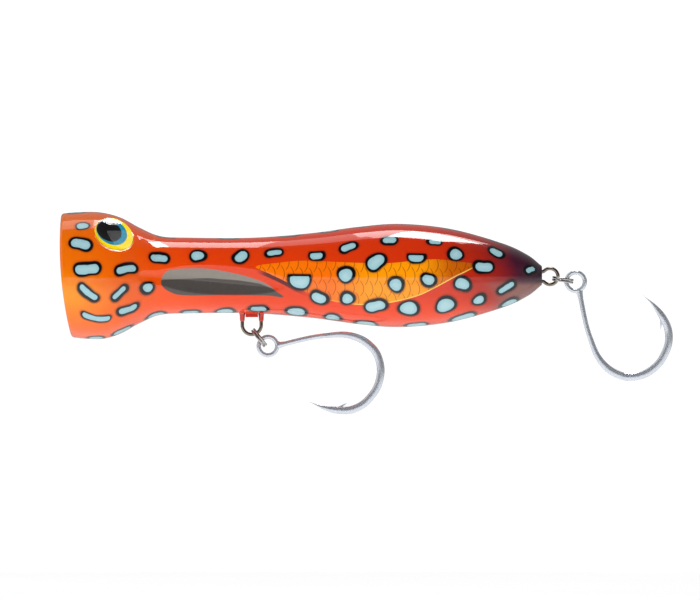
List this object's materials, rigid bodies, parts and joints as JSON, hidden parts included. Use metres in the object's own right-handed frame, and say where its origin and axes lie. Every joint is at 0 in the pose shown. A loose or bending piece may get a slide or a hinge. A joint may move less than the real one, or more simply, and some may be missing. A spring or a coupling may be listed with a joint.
{
  "type": "topwater popper",
  "caption": "Topwater fishing popper with a cupped mouth, slim waist and swelling tail, single hooks hung on split rings, rattle and weights inside.",
  "frame": {"origin": "middle of the line-tie eye, on the body's axis inside the cup", "axes": "+X towards the tail along the body's axis, +Z towards the lure's back, -Y towards its left flank"},
  "size_m": [0.1908, 0.0394, 0.0629],
  "materials": {
    "shell": "airbrushed orange and red with pale blue spots under a clear gloss coat",
    "eye_print": "printed yellow and blue with a black pupil",
    "eye_lens": "clear domed resin",
    "wire": "drawn stainless wire",
    "split_ring": "polished stainless wire",
    "hook": "tinned satin steel",
    "ferrule": "turned brass",
    "crimp": "pressed sleeve",
    "weight": "dull grey cast weight",
    "rattle_case": "milky clear tube",
    "rattle_ball": "polished steel ball"
  },
  "bodies": {
    "body": {"body_shell_left": "shell", "body_shell_right": "shell", "through_wire": "wire", "belly_hanger": "wire", "nose_ferrule": "ferrule", "wire_crimp": "crimp", "eye_disc_left": "eye_print", "eye_disc_right": "eye_print", "eye_lens_left": "eye_lens", "eye_lens_right": "eye_lens", "rattle_tube": "rattle_case", "rattle_plug": "rattle_case", "keel_weight": "weight", "tail_weight": "weight"},
    "belly_split_ring": {"belly_split_ring": "split_ring"},
    "belly_hook": {"belly_hook": "hook"},
    "tail_split_ring": {"tail_split_ring": "split_ring"},
    "tail_hook": {"tail_hook": "hook"},
    "rattle_ball_1": {"rattle_ball_1": "rattle_ball"},
    "rattle_ball_2": {"rattle_ball_2": "rattle_ball"},
    "rattle_ball_3": {"rattle_ball_3": "rattle_ball"}
  },
  "joints": [
    {"name": "belly_ring_swing", "type": "hinge", "parent": "body", "child": "belly_split_ring", "pos_m": [0.05355, 0, -0.0184], "axis": [1, 0, 0], "range_deg": [-60, 60]},
    {"name": "belly_hook_swing", "type": "hinge", "parent": "belly_split_ring", "child": "belly_hook", "pos_m": [0.05767, 0, -0.02177], "axis": [0, 1, 0], "range_deg": [-4, 130]},
    {"name": "tail_ring_swing", "type": "hinge", "parent": "body", "child": "tail_split_ring", "pos_m": [0.1491, 0, -0.0003], "axis": [0, 0, 1], "range_deg": [-50, 50]},
    {"name": "tail_hook_swing", "type": "hinge", "parent": "tail_split_ring", "child": "tail_hook", "pos_m": [0.15357, 0, -0.00181], "axis": [0, 1, 0], "range_deg": [-95, 65]},
    {"name": "rattle_ball_1_slide", "type": "slide", "parent": "body", "child": "rattle_ball_1", "axis": [1, 0, 0], "range_m": [-0.0011, 0.0011]},
    {"name": "rattle_ball_2_slide", "type": "slide", "parent": "body", "child": "rattle_ball_2", "axis": [1, 0, 0], "range_m": [-0.0011, 0.0011]},
    {"name": "rattle_ball_3_slide", "type": "slide", "parent": "body", "child": "rattle_ball_3", "axis": [1, 0, 0], "range_m": [-0.0011, 0.0011]}
  ]
}
